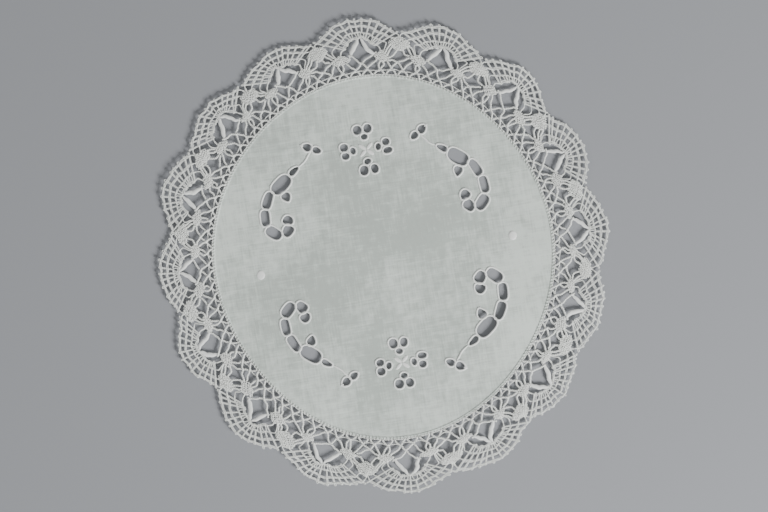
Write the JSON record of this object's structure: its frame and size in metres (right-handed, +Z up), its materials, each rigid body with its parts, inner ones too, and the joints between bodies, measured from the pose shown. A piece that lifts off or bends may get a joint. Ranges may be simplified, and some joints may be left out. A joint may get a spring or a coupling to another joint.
{
  "type": "lace doily",
  "caption": "Small round linen table doily with cutwork scrolls and flowers, edged with scalloped bobbin lace and laid flat.",
  "frame": {"origin": "on the underside, in the middle of the linen centre", "axes": "+Z up from the table; +Y along the doily's longer axis, through its two cutwork flowers"},
  "size_m": [0.1992, 0.2105, 0.0013],
  "materials": {
    "linen_cloth": "matt plain weave",
    "lace_thread": "matt twisted thread"
  },
  "bodies": {
    "root": {"linen_centre": "linen_cloth", "lace_edging": "lace_thread"}
  },
  "joints": []
}
